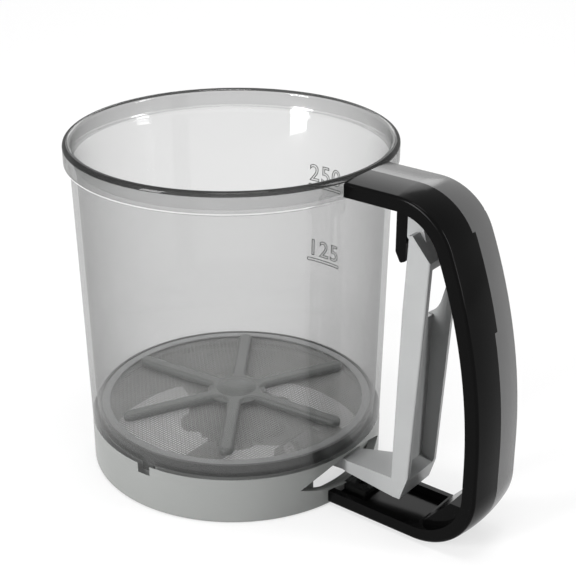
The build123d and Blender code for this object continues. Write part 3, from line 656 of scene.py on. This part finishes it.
# ------------------------------------------------------------------ sieve
class SIFTER_OT_sieve(bpy.types.Operator):
    """Weaves the sieve and turns the rings that hold it"""

    bl_idname = "sifter.sieve"
    bl_label = "Sieve"

    def execute(self, context):
        steel = drawn_steel("woven steel", shade(colours().steel, 0.6), 0.3)
        self.weave(steel)
        dark = moulded("dark ring", colours().gasket, 0.35, 0.1, 500)
        outer = GASKET_HIGH.x
        inner = HOOP_HIGH.x
        foot = inner - 2.4 * MM
        low = GASKET_HIGH.z - RING_BODY
        step = low + 1.4 * MM
        section = [(foot, low), (outer, low), (outer, GASKET_HIGH.z), (inner + 0.05 * MM, GASKET_HIGH.z)]
        section += [(inner + 0.05 * MM, step), (foot, step)]
        ring = lathe("sieve_ring", rounded(section, 0.25 * MM, 3))
        keys = [self.key(angle, outer, low) for angle in KEY_ANGLES]
        link("sieve_ring", joined("sieve_ring", [ring, *keys]), [dark], "cup", ["sieve_gasket"])
        pale = moulded("hoop plastic", shade(colours().trigger, 0.8), 0.4, 0.1, 500)
        bore = HOOP_HIGH.x - 2.9 * MM
        upper = [(bore, HOOP_LOW.z), (inner, HOOP_LOW.z), (inner, HOOP_HIGH.z), (bore, HOOP_HIGH.z)]
        upper_mesh = lathe("hoop_top", rounded(upper, 0.3 * MM, 4))
        link("hoop_top", upper_mesh, [pale], "cup", ["hoop_upper"])
        lip = inner - 1.35 * MM
        lower = [
            (bore, LOWER_HOOP_LOW.z),
            (inner, LOWER_HOOP_LOW.z),
            (inner, LOWER_HOOP_HIGH.z),
            (lip, LOWER_HOOP_HIGH.z),
            (lip, MESH_LOW.z),
            (bore, MESH_LOW.z),
        ]
        lower_mesh = lathe("hoop_bottom", rounded(lower, 0.2 * MM, 3))
        link("hoop_bottom", lower_mesh, [pale], "cup", ["hoop_lower"])
        self.eyelet(drawn_steel("pressed steel", colours().steel, 0.25))
        return {"FINISHED"}

    def key(self, angle, outer, low):
        """A tab under the ring that stops it from turning."""
        half = 2.5 * MM
        inner = outer - 0.8 * MM
        block = rounded([(inner, -half), (outer, -half), (outer, half), (inner, half)], 0.2 * MM)
        mesh = prism("key", block, GASKET_LOW.z, low + 2 * MM)
        mesh.transform(Matrix.Rotation(math.radians(angle), 4, "Z"))
        return mesh

    def weave(self, steel):
        size = sizes()
        reach = MESH_HIGH.x - 0.3 * MM
        hole = EYELET_HIGH.x - 0.9 * MM
        middle = (MESH_LOW.z + MESH_HIGH.z) / 2
        count = int(reach / size.wire_pitch)
        points = []
        faces = []
        for across in (0, 1):
            for index in range(-count, count + 1):
                offset = index * size.wire_pitch
                half = math.sqrt(max(reach**2 - offset**2, 0))
                ends = int(half / size.wire_pitch)
                if abs(offset) < hole:
                    gap = int(math.sqrt(hole**2 - offset**2) / size.wire_pitch) + 1
                    runs = [(-ends, -gap), (gap, ends)]
                else:
                    runs = [(-ends, ends)]
                for start, end in runs:
                    self.wire(points, faces, across, index, start, end, middle)
        mesh = bpy.data.meshes.new("woven_sieve")
        mesh.from_pydata(points, [], faces)
        link("woven_sieve", mesh, [steel], "cup", ["sieve_mesh"], 120)

    def wire(self, points, faces, across, index, start, end, middle):
        """One wire that passes over and under its neighbours, with four sides."""
        if end - start < 1:
            return
        size = sizes()
        radius = size.wire_radius
        offset = index * size.wire_pitch
        for step in range(start, end + 1):
            along = step * size.wire_pitch
            over = 1 if (step + index + across) % 2 == 0 else -1
            height = middle + over * radius * 0.5
            first = len(points)
            corners = ((radius, 0), (0, radius), (-radius, 0), (0, -radius))
            for side, up in corners:
                if across:
                    points.append((offset + side, along, height + up))
                else:
                    points.append((along, offset + side, height + up))
            if step > start:
                for k in range(4):
                    a = first - 4 + k
                    b = first - 4 + (k + 1) % 4
                    quad = (a, b, b + 4, a + 4)
                    faces.append(quad if across else quad[::-1])
        last = len(points) - 4
        begin = last - 4 * (end - start)
        caps = [(begin, begin + 3, begin + 2, begin + 1), (last, last + 1, last + 2, last + 3)]
        faces.extend(cap if across else cap[::-1] for cap in caps)

    def eyelet(self, steel):
        bore = EYELET_HIGH.x - 2 * MM
        tube = bore + 0.6 * MM
        outer = EYELET_HIGH.x
        section = [
            (bore, EYELET_LOW.z),
            (outer, EYELET_LOW.z),
            (outer, MESH_LOW.z),
            (tube, MESH_LOW.z),
            (tube, MESH_HIGH.z),
            (outer, MESH_HIGH.z),
            (outer, EYELET_HIGH.z),
            (bore, EYELET_HIGH.z),
        ]
        mesh = lathe("centre_eyelet", rounded(section, 0.15 * MM, 3), 96)
        link("centre_eyelet", mesh, [steel], "cup", ["mesh_eyelet"])


# ------------------------------------------------------------------ agitator and drive
class SIFTER_OT_agitator(bpy.types.Operator):
    """Gives the agitator, its wheel and the toothed slide their finishes"""

    bl_idname = "sifter.agitator"
    bl_label = "Agitator and drive"

    def execute(self, context):
        satin = moulded("agitator plastic", colours().star, 0.42, 0.12, 700)
        refinish("agitator_star", satin, 0, 28)
        wheel = moulded("wheel plastic", shade(colours().star, 0.8), 0.45, 0.12, 700)
        refinish("drive_wheel", wheel, 0.15 * MM, 35)
        slide = moulded("slide plastic", shade(colours().frame, 0.55), 0.4, 0.12, 700)
        refinish("rack_slide", slide, 0.2 * MM, 35)
        return {"FINISHED"}


class SIFTER_OT_base(bpy.types.Operator):
    """Finishes the base frame and its bush"""

    bl_idname = "sifter.base"
    bl_label = "Base frame"

    def execute(self, context):
        plastic = moulded("base plastic", colours().frame, 0.4, 0.12, 600)
        refinish("base_frame", plastic, 0.25 * MM, 35)
        white = moulded("bush plastic", (0.7, 0.7, 0.67), 0.3, 0.05, 600)
        refinish("spindle_bush", white, 0.1 * MM, 35)
        return {"FINISHED"}


# ------------------------------------------------------------------ handle and trigger
class SIFTER_OT_handle(bpy.types.Operator):
    """Finishes the two halves of the strap handle"""

    bl_idname = "sifter.handle"
    bl_label = "Handle"

    def execute(self, context):
        black = moulded("polished black", colours().black, 0.15, 0.02, 200, specular=0.05)
        refinish("handle_left_shell", black, 0.6 * MM, 40)
        # Painted reflection: the right half is lighter grey than the black left half, standing in for its
        # reflection; its higher gloss is real.
        smoke = moulded("polished smoke", colours().painted_reflection_grey, 0.22, 0.02, 200, specular=0.3)
        right = refinish("handle_right_shell", smoke, 0.3 * MM, 40)
        # Faces in the trough keep the plain black; the rest of the right half carries the painted reflection
        # grey.
        right.data.materials.append(black)
        for face in right.data.polygons:
            in_trough = face.center.z < TROUGH_TOP and face.normal.y < 0.3 and face.normal.x < 0.5
            face.material_index = 1 if in_trough else 0
        return {"FINISHED"}


class SIFTER_OT_trigger(bpy.types.Operator):
    """Finishes the trigger"""

    bl_idname = "sifter.trigger"
    bl_label = "Trigger"

    def execute(self, context):
        satin = moulded("trigger plastic", colours().trigger, 0.34, 0.1, 700)
        refinish("trigger_lever", satin, 0.4 * MM, 25)
        return {"FINISHED"}


class SIFTER_OT_metal(bpy.types.Operator):
    """Finishes the pins, screws, clips and the return spring"""

    bl_idname = "sifter.metal"
    bl_label = "Metal parts"

    def execute(self, context):
        steel = drawn_steel("bright steel", colours().steel, 0.28)
        pins = ("pivot_pin", "link_pin", "link_pin_clips")
        screws = ("handle_screws", "lug_screw", "stem_screw", "stem_washer")
        for node in pins + screws:
            refinish(node, steel, 0.05 * MM, 35)
        refinish("return_spring", steel, 0, 60)
        return {"FINISHED"}


# ------------------------------------------------------------------ stage
class SIFTER_OT_stage(bpy.types.Operator):
    """Lays the floor and sets the lamps and the camera"""

    bl_idname = "sifter.stage"
    bl_label = "Stage"

    def execute(self, context):
        self.floor()
        self.world()
        self.lamp("left", (-0.25, -1.1, 0.35), 0.3, 0.9, 18)
        self.lamp("right", (1.15, 0.45, 0.5), 0.25, 0.9, 9)
        self.lamp("back", (-0.75, 0.95, 0.75), 0.9, 0.5, 4)
        self.lamp("top", (0.15, -0.1, 1.4), 0.5, 0.5, 6)
        self.camera()
        return {"FINISHED"}

    def floor(self):
        finish = Finish("pale floor")
        rays = finish.node("ShaderNodeLightPath")
        seen = (finish.flow(rays, 0) + finish.flow(rays, 3) + finish.flow(rays, 6)).limited()
        pale = finish.node("ShaderNodeBsdfDiffuse", Color=(0.9, 0.9, 0.9, 1))
        white = finish.node("ShaderNodeEmission", Color=(1, 1, 1, 1), Strength=1.0)
        material = finish.surface(finish.node("ShaderNodeMixShader", in0=seen * 0.6, in1=pale, in2=white))
        mesh = bpy.data.meshes.new("floor")
        reach = 6.0
        corners = [(-reach, -reach, 0), (reach, -reach, 0), (reach, reach, 0), (-reach, reach, 0)]
        mesh.from_pydata(corners, [], [(0, 1, 2, 3)])
        mesh.materials.append(material)
        floor = bpy.data.objects.new("floor", mesh)
        bpy.context.scene.collection.objects.link(floor)

    def world(self):
        world = bpy.data.worlds.new("studio")
        bpy.context.scene.world = world
        world.use_nodes = True
        tree = world.node_tree
        tree.nodes.clear()
        rays = tree.nodes.new("ShaderNodeLightPath")
        seen = Flow(tree, rays.outputs[0]) + Flow(tree, rays.outputs[3]) + Flow(tree, rays.outputs[6])
        strength = 0.44 + 0.56 * seen.limited()
        light = tree.nodes.new("ShaderNodeBackground")
        light.inputs["Color"].default_value = (1, 1, 1, 1)
        tree.links.new(strength.socket, light.inputs["Strength"])
        output = tree.nodes.new("ShaderNodeOutputWorld")
        tree.links.new(light.outputs[0], output.inputs[0])

    def lamp(self, name, place, width, height, power):
        light = bpy.data.lights.new(name, "AREA")
        light.shape = "RECTANGLE"
        light.size = width
        light.size_y = height
        light.energy = power
        lamp = bpy.data.objects.new(name, light)
        lamp.location = place
        aim = Vector((0.02, 0, 0.06)) - Vector(place)
        lamp.rotation_euler = aim.to_track_quat("-Z", "Y").to_euler()
        bpy.context.scene.collection.objects.link(lamp)

    def camera(self):
        lens = bpy.data.cameras.new("camera")
        lens.lens = 82.2
        lens.sensor_width = 36
        camera = bpy.data.objects.new("camera", lens)
        camera.location = (0.2691, -0.3151, 0.2528)
        aim = Vector((-0.5585, 0.7163, -0.4183))
        camera.rotation_euler = aim.to_track_quat("-Z", "Y").to_euler()
        bpy.context.scene.collection.objects.link(camera)
        bpy.context.scene.camera = camera
        bpy.context.scene.view_settings.view_transform = "Standard"


# ------------------------------------------------------------------ panel and registration
OPERATORS = (
    SIFTER_OT_cup,
    SIFTER_OT_scale,
    SIFTER_OT_sieve,
    SIFTER_OT_agitator,
    SIFTER_OT_base,
    SIFTER_OT_handle,
    SIFTER_OT_trigger,
    SIFTER_OT_metal,
    SIFTER_OT_stage,
)


class SIFTER_PT_panel(bpy.types.Panel):
    """Lists the steps of the build"""

    bl_idname = "SIFTER_PT_panel"
    bl_label = "Flour sifter"
    bl_space_type = "VIEW_3D"
    bl_region_type = "UI"
    bl_category = "Sifter"

    def draw(self, context):
        for operator in OPERATORS:
            self.layout.operator(operator.bl_idname)
        for group in (context.scene.sifter_sizes, context.scene.sifter_colours):
            for name in group.__annotations__:
                self.layout.prop(group, name)


CLASSES = (SifterSizes, SifterColours, *OPERATORS, SIFTER_PT_panel)


def register():
    for item in CLASSES:
        bpy.utils.register_class(item)
    bpy.types.Scene.sifter_sizes = PointerProperty(type=SifterSizes)
    bpy.types.Scene.sifter_colours = PointerProperty(type=SifterColours)


def unregister():
    del bpy.types.Scene.sifter_colours
    del bpy.types.Scene.sifter_sizes
    for item in reversed(CLASSES):
        bpy.utils.unregister_class(item)


def main():
    register()
    for operator in OPERATORS:
        group, name = operator.bl_idname.split(".")
        getattr(getattr(bpy.ops, group), name)()


if __name__ == "__main__":
    main()
